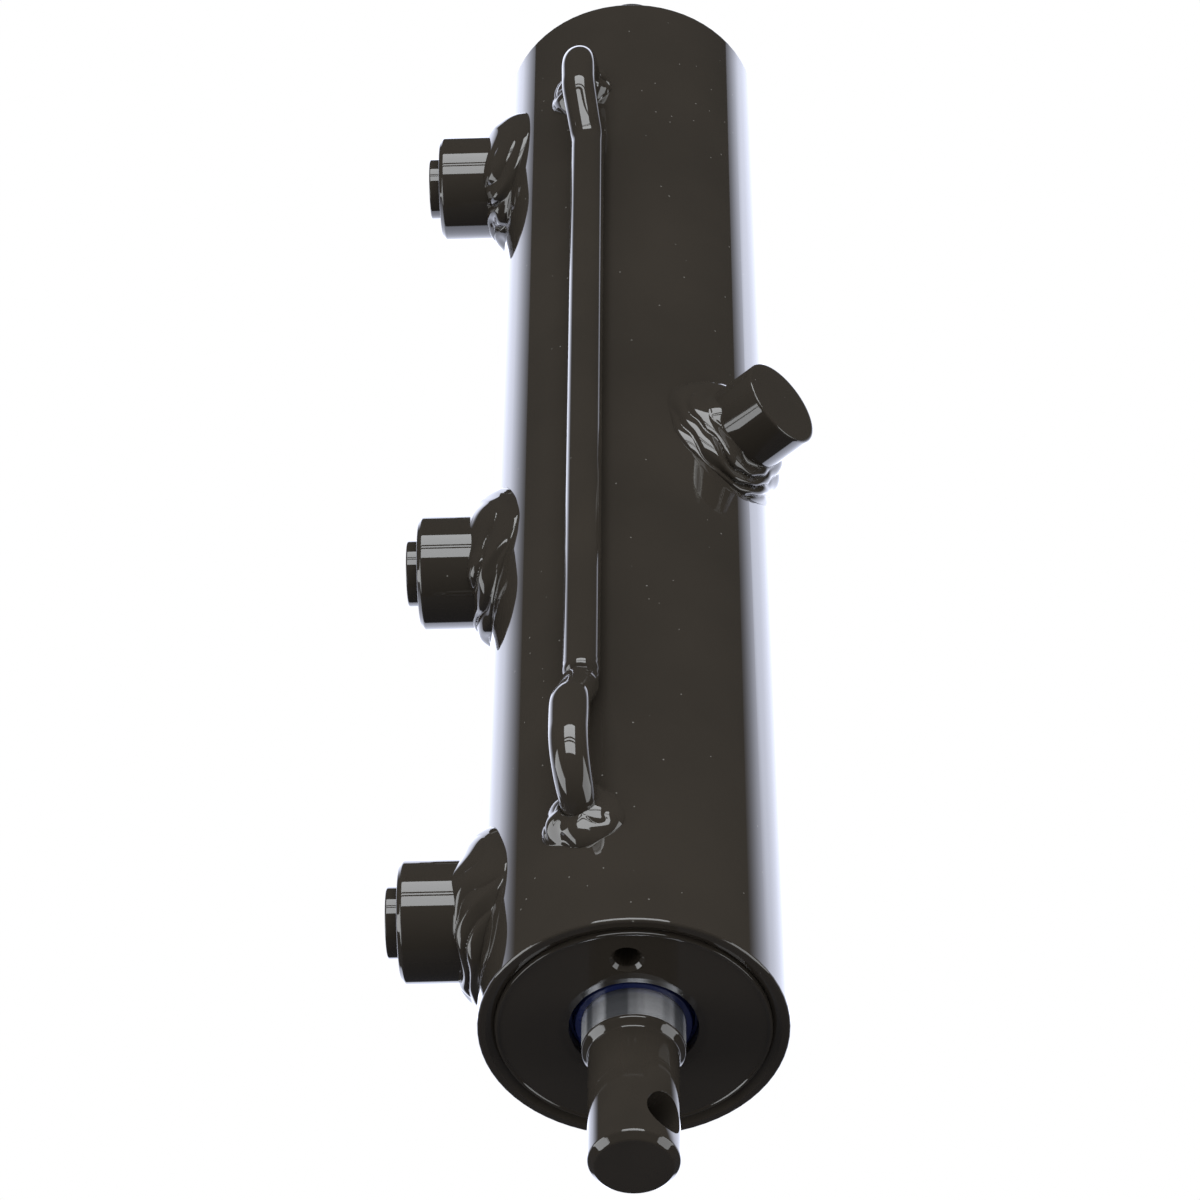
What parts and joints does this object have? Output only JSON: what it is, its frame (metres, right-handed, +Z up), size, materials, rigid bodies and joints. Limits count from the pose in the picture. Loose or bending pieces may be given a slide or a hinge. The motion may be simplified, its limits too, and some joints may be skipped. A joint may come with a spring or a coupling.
{
  "type": "double-ended hydraulic cylinder",
  "caption": "Double-ended hydraulic cylinder: two opposed rods in one barrel, plugged side ports, crossover tube and a solid anchor pin.",
  "frame": {"origin": "centre of the near rod's pin hole on the barrel's axis, both rods in", "axes": "+Y along the barrel from the near rod to the far rod; +Z up with the crossover tube on top; the ports face -X"},
  "size_m": [0.1116, 0.4822, 0.0946],
  "materials": {
    "black_paint": "gloss black paint with a slight brown cast",
    "chrome_rod": "hard chrome, polished",
    "wiper_blue": "dark blue polyurethane",
    "seal_plastic": "satin polyurethane",
    "guide_plastic": "matt fabric-filled plastic",
    "white_plastic": "matt white plastic",
    "seal_rubber": "matt nitrile rubber",
    "cast_piston": "turned cast iron",
    "bare_steel": "turned steel, oiled"
  },
  "bodies": {
    "barrel": {"anchor_pin": "black_paint", "anchor_weld": "black_paint", "barrel": "black_paint", "centre_port_boss": "black_paint", "centre_port_plug": "black_paint", "centre_port_seal": "seal_rubber", "centre_port_weld": "black_paint", "centre_stop": "bare_steel", "crossover_tube": "black_paint", "far_gland": "black_paint", "far_gland_backup_ring": "white_plastic", "far_gland_o_ring": "seal_rubber", "far_port_boss": "black_paint", "far_port_plug": "black_paint", "far_port_seal": "seal_rubber", "far_port_weld": "black_paint", "far_rod_guide": "guide_plastic", "far_rod_seal": "seal_plastic", "far_tube_weld": "black_paint", "far_wiper": "wiper_blue", "near_gland": "black_paint", "near_gland_backup_ring": "white_plastic", "near_gland_o_ring": "seal_rubber", "near_port_boss": "black_paint", "near_port_plug": "black_paint", "near_port_seal": "seal_rubber", "near_port_weld": "black_paint", "near_rod_guide": "guide_plastic", "near_rod_seal": "seal_plastic", "near_tube_weld": "black_paint", "near_wiper": "wiper_blue"},
    "near_rod_body": {"near_piston": "cast_piston", "near_piston_back_wear_ring": "guide_plastic", "near_piston_front_wear_ring": "guide_plastic", "near_piston_nut": "bare_steel", "near_piston_o_ring": "seal_rubber", "near_piston_seal": "seal_plastic", "near_rod": "chrome_rod"},
    "far_rod_body": {"far_piston": "cast_piston", "far_piston_back_wear_ring": "guide_plastic", "far_piston_front_wear_ring": "guide_plastic", "far_piston_nut": "bare_steel", "far_piston_o_ring": "seal_rubber", "far_piston_seal": "seal_plastic", "far_rod": "chrome_rod"}
  },
  "joints": [
    {"name": "near_rod_slide", "type": "slide", "parent": "barrel", "child": "near_rod_body", "axis": [0, -1, 0], "range_m": [0, 0.085]},
    {"name": "far_rod_slide", "type": "slide", "parent": "barrel", "child": "far_rod_body", "axis": [0, 1, 0], "range_m": [0, 0.085]}
  ]
}
